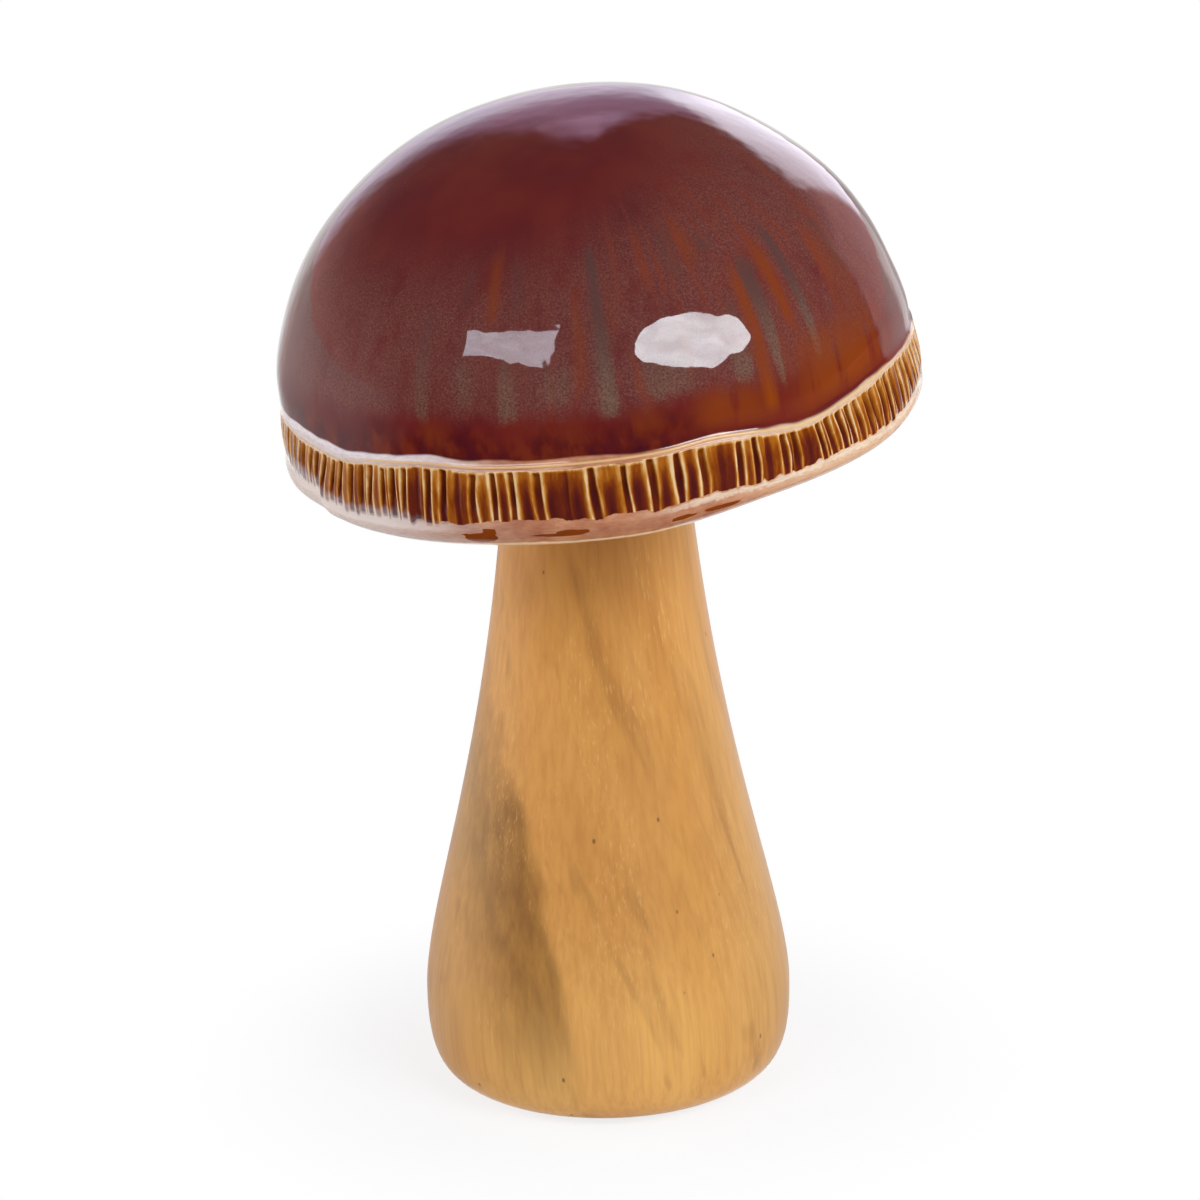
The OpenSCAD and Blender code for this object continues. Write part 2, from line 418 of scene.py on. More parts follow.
# Places where it swells a little, and a flatter one on its right shoulder: middle, reach and size
SWELLS = (
    ((-15.0, -48.0, 20.0), 4.3, 0.1),
    ((-19.0, -47.0, 19.0), 6.8, 0.12),
    ((8.0, -51.0, 17.5), 7.8, 0.09),
    ((23.5, -47.0, 15.5), 4.6, 0.12),
    ((32.0, 13.0, 37.0), 18.0, -0.4),
)


def dome_unevenness(x, y, z):
    """How far the dome stands out from its ellipse at each point, in millimetres."""
    chance = np.random.default_rng(WAVE_SEED)
    length = chance.uniform(*WAVE_LENGTHS, WAVE_COUNT)
    way = chance.normal(size=(WAVE_COUNT, 3))
    way /= np.linalg.norm(way, axis=1)[:, None]
    size = WAVE_SIZE * (length / WAVE_SIZE_LENGTH) ** 2
    start = chance.uniform(0, 2 * math.pi, WAVE_COUNT)
    places = np.stack([x, y, z], axis=-1)
    out = np.sin(places @ (way * (2 * math.pi / length)[:, None]).T + start) @ size
    for middle, reach, height in SWELLS:
        out += height * bump(0, reach, np.linalg.norm(places - middle, axis=-1))
    return out


# Heights above the rim line where its rise and fall has died away, and where the dome is fully uneven
RIM_WAVE_REACH = 14.0
DOME_CALM = 6.0


def rim_wave(angle):
    """Rise and fall of the hand-trimmed rim line, in millimetres."""
    turn = turn_from_front(angle)
    rises = 0.45 * bump(-31, 6, turn) + 0.65 * bump(20, 6, turn) + 1.8 * plateau(turn, 48, 70, 100, 160)
    dips = 0.9 * bump(-51, 7, turn) + 1.25 * bump(39, 7.5, turn)
    return 1.0 + rises - dips


def foot_wave(angle):
    """The same for the feet of the gills, which end higher on the right and left of the strip's end."""
    turn = turn_from_front(angle)
    right = 1.2 * smooth(4, 22, turn) + 0.3 * smooth(32, 42, turn) + 2.0 * smooth(55, 80, turn)
    left = 0.6 * smooth(-48, -56, turn) + 1.4 * smooth(-56.5, -59.5, turn)
    middle = 0.7 * bump(-14, 6, turn) - 0.4 * smooth(-22, -32, turn)
    return middle - 0.2 + right * smooth(170, 110, turn) + left * smooth(-150, -90, turn)


def lip_wave(angle):
    """The same for the lip, which is shallower on the right."""
    turn = turn_from_front(angle)
    return 2.2 * plateau(turn, 5, 36, 110, 170) + 0.6 * bump(-62, 12, turn)


def strip_end(angle):
    """How far the feet of the gills stand out: at the strip's overlapping end, and at the sides."""
    turn = turn_from_front(angle)
    end = 0.6 * plateau(turn, -59, -57, -55, -42)
    return end + 0.7 * plateau(turn, 40, 75, 110, 160) + 0.2 * plateau(turn, -62, -78, -110, -150)


def lip_swell(angle):
    """How far the lip bulges at mid-height, most on the left."""
    turn = turn_from_front(angle)
    left = 0.8 * smooth(-20, -38, turn) + 0.3 * smooth(-58, -75, turn)
    return plateau(turn, 5, 25, 110, 170) + left * smooth(-170, -110, turn)


def left_sink(angle):
    """How far the bead and the gills sink in on the left."""
    return 0.55 * plateau(turn_from_front(angle), -60, -80, -110, -150)


# Glaze runs on the dome: turn from the front in degrees, height of the top and of the end
# above the rim line, half width in millimetres at the top and at the end, and strength
GREY_RUNS = (
    (2.9, 32, 6.5, 1.5, 2.1, 1),
    (-15, 17, 6.5, 1.6, 2, 0.65),
    (-13, 32, 23, 2.2, 1.8, 0.45),
    (-31.5, 24, 6, 2, 1.8, 0.5),
    (-24, 31, 24, 1.4, 1.2, 0.5),
    (-23, 17, 9, 2.4, 2.6, 0.45),
    (-6, 16, 9, 5, 4.5, 0.45),
    (14, 15, 8, 7, 5.5, 0.55),
    (28.5, 13, 8, 2.8, 2, 0.75),
    (36, 26, 6.5, 2.4, 0.8, 1),
    (45.5, 29, 8.5, 1.5, 1.1, 1),
    (29.5, 30.5, 28.5, 2, 1.8, 0.85),
    (21, 34, 26, 2.4, 2, 0.5),
    (29.5, 20.5, 18.5, 1.5, 1.2, 0.7),
    (60.5, 28, 20, 1.3, 1, 0.7),
    (-100, 28, 9, 3, 1.5, 0.9),
    (-135, 30, 6, 3.5, 1.5, 0.9),
    (-165, 27, 8, 3, 2.5, 0.9),
    (160, 31, 5, 3, 1.2, 0.9),
    (125, 26, 7, 3.5, 2, 0.9),
    (92, 29, 9, 2.6, 1, 0.9),
)
AMBER_RUNS = (
    (-18, 32, 23, 1.4, 1.2, 0.65),
    (32.8, 25, 2, 1.2, 1.5, 1),
    (41, 27, 15, 1.7, 1.2, 0.9),
    (51, 12, 0.5, 13, 14, 0.75),
    (25, 7, 0.5, 7, 9, 0.6),
    (57, 26, 10, 3, 4, 0.45),
    (9, 6, 1.5, 4, 5, 0.45),
    (-4, 4.5, 1.5, 3, 3, 0.3),
    (-29, 5.5, 1, 3, 3, 0.45),
    (-0.8, 26, 12, 1.2, 1, 0.55),
    (6.3, 27, 20, 1.5, 1.2, 0.45),
    (25.5, 33, 28, 2.2, 1.8, 0.5),
    (100, 24, 3, 2.4, 2.6, 0.9),
    (140, 27, 6, 2, 2.4, 0.9),
    (175, 25, 3, 3, 3, 0.8),
    (-150, 27, 6, 1.8, 2.2, 0.9),
    (-118, 24, 3, 2.6, 3, 0.8),
    (-80, 20, 5, 2, 2.4, 0.5),
)
# Drips on the lip: turn from the front, drop of the middle below the rim line, half width and half height
LIP_DRIPS = (
    (-22.4, 13.1, 2.9, 1.1),
    (-20.4, 11.8, 1, 2.2),
    (-25.4, 12.2, 0.6, 0.5),
    (-6, 12.5, 3, 0.7),
    (-10, 13.1, 3.4, 0.4),
    (13.5, 12.9, 2.3, 0.35),
    (21, 12.8, 3.6, 0.45),
    (64, 13, 3.2, 0.4),
    (104, 12.5, 3, 0.7),
    (100, 13.1, 3.4, 0.4),
    (150, 12.9, 3, 0.4),
    (-150, 13, 3.2, 0.6),
    (-147.5, 11.9, 1, 1.8),
    (-112, 12.6, 3, 0.6),
    (-108, 13.1, 3.2, 0.4),
    (-74, 12.9, 2.8, 0.4),
)
# How a run fades at its top and at its end, in millimetres from them, and at its edge, in half widths
RUN_TOP_FADE = (3.0, -2.0)
RUN_END_FADE = (-2.2, 1.8)
RUN_EDGE_FADE = (0.3, 1.4)
DRIP_EDGE_FADE = (0.6, 1.4)


def rim_distance(angle, place):
    """How far each angle is round the rim from a turn from the front, in millimetres."""
    turn = turn_from_front(angle)
    return np.abs((turn - place + 180) % 360 - 180) * math.pi / 180 * RIM_RADIUS


def run_weight(runs, angle, height):
    """How strongly any of the runs colours the dome at each angle of a height."""
    weight = np.zeros_like(angle)
    for place, top, end, top_half, end_half, strength in runs:
        half = end_half + (top_half - end_half) * np.clip((height - end) / (top - end), 0, 1)
        across = 1 - smooth(*np.multiply(RUN_EDGE_FADE, half), rim_distance(angle, place))
        down = smooth(*np.add(RUN_TOP_FADE, top), height) * smooth(*np.add(RUN_END_FADE, end), height)
        weight = np.maximum(weight, strength * across * down)
    return weight


def drip_weight(angle, drop):
    """How strongly a drip colours the lip at each angle of a drop below the rim line."""
    weight = np.zeros_like(angle)
    for place, middle, half_width, half_height in LIP_DRIPS:
        off_middle = np.hypot(rim_distance(angle, place) / half_width, (drop - middle) / half_height)
        weight = np.maximum(weight, 1 - smooth(*DRIP_EDGE_FADE, off_middle))
    return weight


def add_dome(shell, angle):
    apex = dome_unevenness(np.zeros(1), np.zeros(1), np.full(1, DOME_HEIGHT))[0]
    shell.tip(DOME_HEIGHT + apex, DOME_HEIGHT, drop=-DOME_HEIGHT)
    for row in range(1, DOME_ROWS + 1):
        slope = math.pi / 2 * row / DOME_ROWS
        radius, height = RIM_RADIUS * math.sin(slope), DOME_HEIGHT * math.cos(slope)
        lean = math.atan2(math.sin(slope) / RIM_RADIUS, math.cos(slope) / DOME_HEIGHT)
        out = dome_unevenness(radius * np.cos(angle), radius * np.sin(angle), np.full_like(angle, height))
        out *= smooth(0, DOME_CALM, height)
        shell.ring(
            angle,
            radius + out * math.sin(lean),
            height + out * math.cos(lean) + rim_wave(angle) * smooth(RIM_WAVE_REACH, 0, height),
            height,
            drop=-height,
            grey_run=run_weight(GREY_RUNS, angle, height),
            amber_run=run_weight(AMBER_RUNS, angle, height),
        )


def add_bead(shell, angle):
    for out, height in BEAD_OUTLINE:
        radius = RIM_RADIUS + out * (1 - left_sink(angle) / BEAD_OUT)
        shell.ring(angle, radius, height + rim_wave(angle), height, drop=-height)


def add_gills(shell, band):
    top_rise, foot_rise = rim_wave(band.angle), foot_wave(band.angle)
    proud, sink = strip_end(band.angle), left_sink(band.angle)
    for share in GILL_ROWS:
        angle, depth, values = band.row(share)
        height = GILL_TOP - share * GILL_HEIGHT
        level = min(max(share, 0), 1)
        swell = BEAD_OUT + (BAND_SWELL - BEAD_OUT) * math.sin(math.pi * level) - BAND_LEAN * level**2
        shell.ring(
            angle,
            RIM_RADIUS + swell - depth + proud * smooth(0, 1, share) - sink,
            height + top_rise * (1 - level) + foot_rise * level,
            height,
            drop=-height,
            **values,
        )


# How far below the rim line the pale glaze under the gills goes, which on the left is partly a painted
# reflection
LIP_PALE_END = 12.4


def add_lip(shell, band):
    angle, leaned = band.angle[::DOME_STEP], band.row(1.0)[0][::DOME_STEP]
    gill_foot = RIM_RADIUS + BEAD_OUT - BAND_LEAN
    corners = (
        (gill_foot, GILL_FOOT),
        (gill_foot - LIP_IN / 20, GILL_FOOT - LIP_HEIGHT / 3),
        (RING_OUT + LIP_IN / 2, LIP_FOOT),
        (RING_OUT - LIP_IN / 10, LIP_FOOT),
    )
    proud = strip_end(angle) - left_sink(angle)
    for radius, height in cubic(corners, LIP_ROWS)[1:]:
        ease = (height - LIP_FOOT) / LIP_HEIGHT
        shell.ring(
            angle + (leaned - angle) * ease,
            radius + proud * ease + lip_swell(angle) * math.sin(math.pi * ease),
            height + foot_wave(angle) * ease + lip_wave(angle) * (1 - ease),
            height,
            drop=-height,
            pale=smooth(LIP_PALE_END, -GILL_FOOT, -height),
            lip_drip=drip_weight(angle, -height),
        )


def add_underside(shell, angle):
    """Foot ring, dished underside with the seat, dowel hole, and the hollow inside."""
    wave = lip_wave(angle)
    halfway = (RING_IN + SEAT_RADIUS) / 2
    dish_from = ((RING_IN, LIP_FOOT), (RING_IN - RING_WIDTH, -SEAT_DEPTH))
    dish_to = ((halfway, -SEAT_DEPTH), (SEAT_RADIUS, -SEAT_DEPTH))
    path = [(RING_IN, LIP_FOOT), *cubic((*dish_from, *dish_to), 2 * UNDER_ROWS)]
    hole = DOWEL_HOLE_RADIUS
    path += [(hole, -SEAT_DEPTH), (hole, COLLAR_TOP), (COLLAR_RADIUS, COLLAR_TOP)]
    floor = CAP_WALL - SEAT_DEPTH
    hollow = RIM_RADIUS - CAP_WALL
    toe = (hollow - CAP_WALL / 2, GILL_MIDDLE - CAP_WALL / 2)
    path += [(COLLAR_RADIUS, floor)]
    path += [*cubic(((COLLAR_RADIUS, floor), (halfway, floor), (RING_IN, floor), toe), UNDER_ROWS)]
    sag = toe[1] - CAP_WALL / 3
    path += [*cubic((toe, (toe[0], sag), (hollow, sag), (hollow, GILL_MIDDLE)), UNDER_ROWS)]
    for slope in np.linspace(math.pi / 2, 0, UNDER_ROWS)[:-1]:
        path.append((hollow * math.sin(slope), (DOME_HEIGHT - CAP_WALL) * math.cos(slope)))
    bare = LIP_HEIGHT - LIP_FOOT
    for radius, height in path:
        dished = radius <= RING_IN and height < -SEAT_DEPTH
        near_foot = smooth(-SEAT_DEPTH, LIP_FOOT, height) if dished else 0
        shell.ring(angle, radius, height + wave * near_foot, height, drop=bare)
    shell.tip(DOME_HEIGHT - CAP_WALL, DOME_HEIGHT - CAP_WALL, drop=bare)


def make_cap():
    """Dome, bead, gill band, lip and underside as one closed skin, as the fired piece is."""
    shell = Shell()
    band = GillBand()
    add_dome(shell, band.angle[::DOME_STEP])
    add_bead(shell, band.angle[::DOME_STEP])
    add_gills(shell, band)
    add_lip(shell, band)
    add_underside(shell, band.angle[::UNDER_STEP])
    piece = shell.make("cap_glazed", CAP_FRAME)
    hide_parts("cap")
    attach(piece, "root")
    return piece


# Mesh columns and rows of the stem
STEM_COLUMNS = 96
FOOT_ROWS = 20
SIDE_ROWS = 80
# From which share of the stem's height its rings start to tilt with the mitred top
MITRE_FROM = 0.96


def make_stem():
    """Turned stem with its mitred top, dowel hole and pad recess."""
    angle = around(STEM_COLUMNS)
    shell = Shell()
    shell.tip(PAD_RECESS, PAD_RECESS)
    lean = NECK_REACH * math.tan(math.radians(NECK_LEAN))
    foot = ((FOOT_RADIUS, 0), (FOOT_RADIUS + FOOT_REACH, 0), (BULB_RADIUS, BULB_HEIGHT - BULB_REACH_LOW))
    side = ((BULB_RADIUS, BULB_HEIGHT), (BULB_RADIUS, BULB_HEIGHT + BULB_REACH_UP))
    neck = ((NECK_RADIUS + lean, STEM_HEIGHT - NECK_REACH), (NECK_RADIUS, STEM_HEIGHT))
    path = [(PAD_HOLE_RADIUS, PAD_RECESS), (PAD_HOLE_RADIUS, 0), (FOOT_RADIUS, 0)]
    path += [*cubic((*foot, side[0]), FOOT_ROWS)]
    path += [*cubic((*side, *neck), SIDE_ROWS)]
    mitre = math.tan(math.radians(CAP_TILT))
    for radius, height in path:
        tilted = height + radius * np.cos(angle) * mitre * smooth(MITRE_FROM, 1.0, height / STEM_HEIGHT)
        shell.ring(angle, radius, tilted, tilted)
    for depth in (0.0, DOWEL_HOLE_DEPTH):
        tilted = STEM_HEIGHT - depth + (CAP_OFFSET + DOWEL_HOLE_RADIUS * np.cos(angle)) * mitre
        shell.ring(angle, DOWEL_HOLE_RADIUS, tilted, tilted)
    shell.tip(STEM_HEIGHT - DOWEL_HOLE_DEPTH, STEM_HEIGHT - DOWEL_HOLE_DEPTH)
    shell.faces = [face[::-1] for face in shell.faces]
    piece = shell.make("stem_turned", Matrix.Translation((0, 0, FOOT_LIFT)))
    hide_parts("stem")
    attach(piece, "root")
    return piece


# The felt pad in millimetres, its mesh columns and edge rows, and its rings as shares of its radius
PAD_RADIUS = 19.7
PAD_THICKNESS = 1.4
PAD_ROUNDING = 0.35
PAD_NAP = 0.07
PAD_COLUMNS = 160
PAD_EDGE_ROWS = 5
PAD_RINGS = (0.2, 0.4, 0.6, 0.8, 0.93)


def make_pad():
    """Pressed felt disc with a soft edge and a fine nap."""
    angle = around(PAD_COLUMNS)
    shell = Shell()
    shell.tip(PAD_THICKNESS, 0)
    edge = PAD_RADIUS - PAD_ROUNDING
    path = [(edge * share, PAD_THICKNESS) for share in PAD_RINGS]
    for middle in (PAD_THICKNESS - PAD_ROUNDING, PAD_ROUNDING):
        start = math.pi / 2 if middle > PAD_ROUNDING else 0
        for slope in np.linspace(start, start - math.pi / 2, PAD_EDGE_ROWS):
            path.append((edge + PAD_ROUNDING * math.cos(slope), middle + PAD_ROUNDING * math.sin(slope)))
    path += [(edge * share, 0.0) for share in reversed(PAD_RINGS)]
    for number, (radius, height) in enumerate(path):
        nap = PAD_NAP * (scatter(np.arange(PAD_COLUMNS), number) - 1)
        inward = 1 if 0 < height < PAD_THICKNESS else 0
        shell.ring(angle, radius + nap * inward, height, height)
    shell.tip(0, 0)
    piece = shell.make("felt_disc", Matrix.Identity(4))
    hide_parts("felt_pad")
    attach(piece, "root")
    return piece


def srgb(red, green, blue):
    """A colour as a screen shows it, from 0 to 255, as the linear values that a shader takes."""
    shown = [channel / 255 for channel in (red, green, blue)]
    return [c / 12.92 if c <= 0.04045 else ((c + 0.055) / 1.055) ** 2.4 for c in shown] + [1.0]


WHITE = (1.0, 1.0, 1.0, 1.0)
TO_RIGHT = (1.0, 0.0, 0.0)
TO_BACK = (0.0, 1.0, 0.0)
TO_TOP = (0.0, 0.0, 1.0)


class Recipe:
    """A node tree, with a short call for each kind of node that the materials need."""

    def __init__(self, owner):
        self.owner = owner
        owner.use_nodes = True
        self.tree = owner.node_tree

    def node(self, kind, inputs, **settings):
        made = self.tree.nodes.new("ShaderNode" + kind)
        for key, value in settings.items():
            setattr(made, key, value)
        for key, value in inputs.items():
            self.feed(made.inputs[key], value)
        return made

    def feed(self, socket, value):
        if isinstance(value, bpy.types.NodeSocket):
            self.tree.links.new(value, socket)
        else:
            socket.default_value = value

    def set(self, **inputs):
        """Feeds the surface shader's own sockets, named with underscores for spaces."""
        shader = self.tree.nodes["Principled BSDF"]
        for key, value in inputs.items():
            self.feed(shader.inputs[key.replace("_", " ")], value)

    def value(self, name, kind="Fac"):
        return self.node("Attribute", {}, attribute_name=name).outputs[kind]

    def place(self, kind="Object"):
        return self.node("TexCoord", {}).outputs[kind]

    def stretch(self, vector, along, across=1.0):
        factors = (across, across, along)
        made = self.node("VectorMath", {0: vector, 1: factors}, operation="MULTIPLY")
        return made.outputs["Vector"]

    def along(self, vector, way):
        made = self.node("VectorMath", {0: vector, 1: way}, operation="DOT_PRODUCT")
        return made.outputs["Value"]

    def length(self, vector):
        return self.node("VectorMath", {0: vector}, operation="LENGTH").outputs["Value"]

    def turn(self, vector):
        """The angle of a direction from straight behind, in radians, positive to the right."""
        return self.maths("ARCTAN2", self.along(vector, TO_RIGHT), self.along(vector, TO_BACK))

    def tilted(self, vector, degrees):
        turn = (0.0, math.radians(degrees), 0.0)
        return self.node("Mapping", {"Vector": vector, "Rotation": turn}).outputs["Vector"]

    def noise(self, vector, scale, detail=3.0, roughness=0.55):
        inputs = {"Vector": vector, "Scale": scale, "Detail": detail, "Roughness": roughness}
        return self.node("TexNoise", inputs).outputs["Fac"]

    def between(self, value, low, high):
        """0 at low and 1 at high, smoothly; low may be the larger."""
        inputs = {"Value": value, "From Min": low, "From Max": high}
        return self.node("MapRange", inputs, interpolation_type="SMOOTHSTEP").outputs["Result"]

    def maths(self, operation, first, second):
        return self.node("Math", {0: first, 1: second}, operation=operation).outputs["Value"]

    def absolute(self, value):
        return self.maths("ABSOLUTE", value, 0.0)

    def plus(self, first, second):
        return self.maths("ADD", first, second)

    def times(self, first, *factors):
        for factor in factors:
            first = self.maths("MULTIPLY", first, factor)
        return first

    def sway(self, vector, scale, size, detail=3.0):
        """A slow wander round zero, to make an edge uneven."""
        return self.times(self.plus(self.noise(vector, scale, detail), -0.5), size)

    def mix(self, share, under, over, blend_type="MIX"):
        made = self.node("Mix", {"Factor": share}, data_type="RGBA", blend_type=blend_type)
        colours = [socket for socket in made.inputs if socket.type == "RGBA"]
        self.feed(colours[0], under)
        self.feed(colours[1], over)
        return next(socket for socket in made.outputs if socket.type == "RGBA")

    def paint(self, colour, shown, *shares):
        """A colour, as a screen shows it, over another by the product of some shares."""
        return self.mix(self.times(*shares), colour, srgb(*shown))

    def ramp(self, value, *stops):
        """Colours as a screen shows them, each after its place along the value."""
        made = self.node("ValToRGB", {"Fac": value})
        places = made.color_ramp.elements
        while len(places) < len(stops):
            places.new(0.5)
        for element, (position, *shown) in zip(places, stops):
            element.position = position
            element.color = srgb(*shown)
        return made.outputs["Color"]

    def bump(self, height, distance, socket="Normal"):
        made = self.node("Bump", {"Height": height, "Distance": distance})
        self.set(**{socket: made.outputs["Normal"]})


def dome_colour(r, flow, drop):
    """Red-brown with taupe crystals half-way down, grey and amber runs, and a darker hem above the rim."""
    place = r.place()
    slow = r.noise(r.stretch(place, 0.8), 40, 3)
    colour = r.ramp(slow, (0.35, 88, 23, 25), (0.5, 98, 28, 26), (0.65, 110, 37, 25))
    streak = r.noise(r.stretch(place, 0.35), 200, 4, 0.6)
    ragged = r.plus(drop, r.sway(r.stretch(flow, 0.4), 0.3, 6))
    across = r.along(flow, TO_RIGHT)
    higher_on_right = r.between(r.plus(drop, r.times(across, 0.2)), -40, -25)
    high = r.maths("MAXIMUM", higher_on_right, r.between(drop, -37, -22))
    middle = r.times(high, r.between(ragged, -5, -10), r.between(streak, 0.15, 0.55))
    grain = r.noise(place, 2800, 3, 0.75)
    crystals = r.ramp(grain, (0.34, 84, 40, 38), (0.5, 103, 55, 48), (0.66, 122, 73, 62))
    colour = r.mix(r.times(middle, 0.85), colour, crystals)
    warm = r.between(r.noise(r.stretch(flow, 0.14), 0.42, 4, 0.6), 0.5, 0.68)
    colour = r.paint(colour, (124, 50, 26), warm, middle, r.between(across, -30, 10), 0.55)
    uneven = r.plus(r.sway(r.stretch(flow, 0.2), 0.6, 0.7), r.times(r.plus(grain, -0.5), 0.5))
    grey = r.ramp(grain, (0.34, 84, 60, 48), (0.5, 105, 80, 65), (0.68, 126, 100, 82))
    grey = r.mix(r.between(drop, -9, -24), grey, srgb(84, 55, 50))
    run = r.times(r.value("grey_run"), r.between(r.plus(r.value("grey_run"), uneven), 0.1, 0.55))
    colour = r.mix(r.times(run, 0.9), colour, grey)
    cloudy = r.between(r.noise(r.stretch(flow, 0.15), 0.35, 3), 0.22, 0.5)
    amber = r.times(r.value("amber_run"), cloudy)
    honey = r.mix(r.between(drop, -12, -3), srgb(125, 53, 13), srgb(138, 64, 10))
    colour = r.mix(r.times(amber, 0.88), colour, honey)
    hem = r.between(r.plus(drop, r.sway(r.stretch(flow, 0.4), 0.16, 7)), -7, -1.5)
    patches = r.noise(r.stretch(flow, 0.6), 0.3, 3)
    dark = r.ramp(patches, (0.36, 62, 13, 23), (0.5, 82, 19, 18), (0.66, 106, 38, 18))
    amount = r.times(hem, r.between(amber, 0.7, 0.1), r.between(across, 28, 8), 0.85)
    return r.mix(amount, colour, dark)


def gill_colour(r, flow):
    """Pale on the edges, amber on the gills and dark brown in the grooves."""
    pool = r.plus(r.value("glaze"), r.sway(r.stretch(flow, 0.25), 1.3, 0.5))
    return r.ramp(
        pool,
        (0.0, 222, 188, 140),
        (0.1, 198, 142, 74),
        (0.24, 166, 96, 24),
        (0.44, 126, 58, 12),
        (0.64, 98, 34, 16),
        (1.0, 72, 20, 20),
    )


def rim_colour(r, flow, drop):
    """Bead and lip: mauve-pink where the glaze has run thin, a cream line, amber drips, a bare foot, and a
    painted reflection and highlight on the left.
    """
    across = r.along(flow, TO_RIGHT)
    patches = r.noise(flow, 0.16, 3)
    colour = r.ramp(patches, (0.35, 176, 113, 83), (0.65, 204, 146, 109))
    # Painted reflection: the left of the bead and lip is painted pale grey-lavender, standing in for the
    # white floor that their gloss mirrors
    colour = r.paint(colour, (214, 198, 186), r.between(across, -10, -46))
    colour = r.paint(colour, (218, 178, 142), r.between(across, 16, 40))
    bead = r.times(r.between(drop, 3, 2.4), r.between(across, 12, 34))
    colour = r.paint(colour, (214, 184, 158), bead, 0.8)
    # Painted highlight: the roll of the bead on the left is painted near white, standing in for the glossy
    # reflection on it
    bead = r.times(r.between(drop, 1.5, 0.9), r.between(across, -16, -34))
    colour = r.paint(colour, (234, 226, 230), bead, 0.8)
    pale = r.between(r.plus(r.value("pale"), r.sway(flow, 0.9, 1.6)), 0.4, 0.9)
    colour = r.paint(colour, (230, 210, 184), pale, r.between(across, 3, 18), 0.75)
    mottle = r.noise(r.stretch(flow, 2.2, across=0.5), 1.2, 4, 0.65)
    colour = r.mix(0.5, colour, r.ramp(mottle, (0.36, 218, 200, 190), (0.6, 255, 255, 255)), "MULTIPLY")
    # A cream line on the bead's sharp edge, where the glaze breaks thin, and partly a painted highlight
    # along it
    line = r.times(r.between(drop, 1, 1.26), r.between(drop, 1.62, 1.34), r.between(across, -46, -34))
    colour = r.paint(colour, (224, 182, 124), line, 0.9)
    drip = r.between(r.plus(r.value("lip_drip"), r.sway(flow, 0.5, 0.4)), 0.44, 0.54)
    colour = r.paint(colour, (132, 60, 12), drip)
    foot = r.between(r.plus(drop, r.sway(flow, 0.4, 0.5)), 14.5, 14.9)
    return r.paint(colour, (236, 208, 172), foot)


def pale_feet(r, flow, colour):
    """On the left the gills' feet fade into pale glaze, partly a painted reflection of the white floor,
    with painted grey glints in the grooves.
    """
    across = r.along(flow, TO_RIGHT)
    pale = r.between(r.plus(r.value("pale"), r.sway(flow, 1.2, 0.6)), 0.15, 0.8)
    # Painted reflection: on the left the feet are painted pale, partly pale glaze and partly the white
    # floor mirrored, and grey in the grooves for their glints
    share = r.times(pale, r.between(across, -20, -38), 0.8)
    stops = (0.0, 222, 208, 198), (0.3, 178, 158, 150), (0.8, 100, 90, 94)
    return r.mix(share, colour, r.ramp(r.value("glaze"), *stops))


# The dome's colour comes further down over the bead on the right than on the left
RIM_EDGE_SLOPE = -0.012


def glaze_material():
    """Reactive glaze on stoneware, glossy all over but for the bare clay under the cap."""
    r = Recipe(bpy.data.materials.new("reactive_glaze"))
    flow = r.value("flow", "Vector")
    drop = r.value("drop")
    edge = r.plus(r.plus(drop, r.sway(flow, 0.12, 1.2, 1)), r.along(flow, (RIM_EDGE_SLOPE, 0, 0)))
    colour = r.mix(r.between(edge, 0.3, 0.8), dome_colour(r, flow, drop), rim_colour(r, flow, drop))
    gills = r.between(r.plus(r.value("gill"), r.sway(flow, 1, 0.8)), 0.4, 0.6)
    colour = r.mix(gills, colour, gill_colour(r, flow))
    colour = pale_feet(r, flow, colour)
    bare = r.between(drop, 15.6, 16.2)
    r.set(Base_Color=colour, Roughness=0.4, Specular_IOR_Level=0.0)
    r.set(Coat_Weight=r.between(bare, 1, 0), Coat_Roughness=0.03, Coat_IOR=1.6)
    r.bump(r.noise(r.place(), 105, 2, 0.5), 0.00021, "Coat Normal")
    return r.owner


# The brown figure in the wood, in metres: how its edge bends, how far left of the axis it is and how soft,
# where the brown is full and ends, how the wood pales beside it, how it fades towards the foot, the top and
# the back, and how far it slants, in degrees
FIGURE_BEND = 2.5
FIGURE_SHIFT = 0.0063
FIGURE_EDGE = (0.0018, -0.0018)
FIGURE_FULL = -0.009
FIGURE_END = -0.02
FIGURE_PALE = (0.024, 0.008)
FIGURE_FADE = (-0.008, 0.034)
FIGURE_TOP = (0.104, 0.066)
FIGURE_BACK = (0.026, 0.002)
FIGURE_ANGLE = 19
# How far the fine grain slants, in degrees
GRAIN_ANGLE = 3
# Painted light: the wood is painted paler in the middle of the foot, for the light the white floor throws
# up there, by its height and its reach to the right and to the left
FOOT_PAINTED_LIGHT_HEIGHT = (0.044, 0.012)
FOOT_PAINTED_LIGHT_RIGHT = (0.034, 0.002)
FOOT_PAINTED_LIGHT_LEFT = (-0.032, -0.012)
# Painted sheen: the wood is also painted paler towards the left and right of the stem, for the sheen at its
# edges, nearer to the axis the higher up
SIDES_PAINTED_SHEEN = (0.018, 0.034)
SIDES_SHEEN_TAPER = 0.1


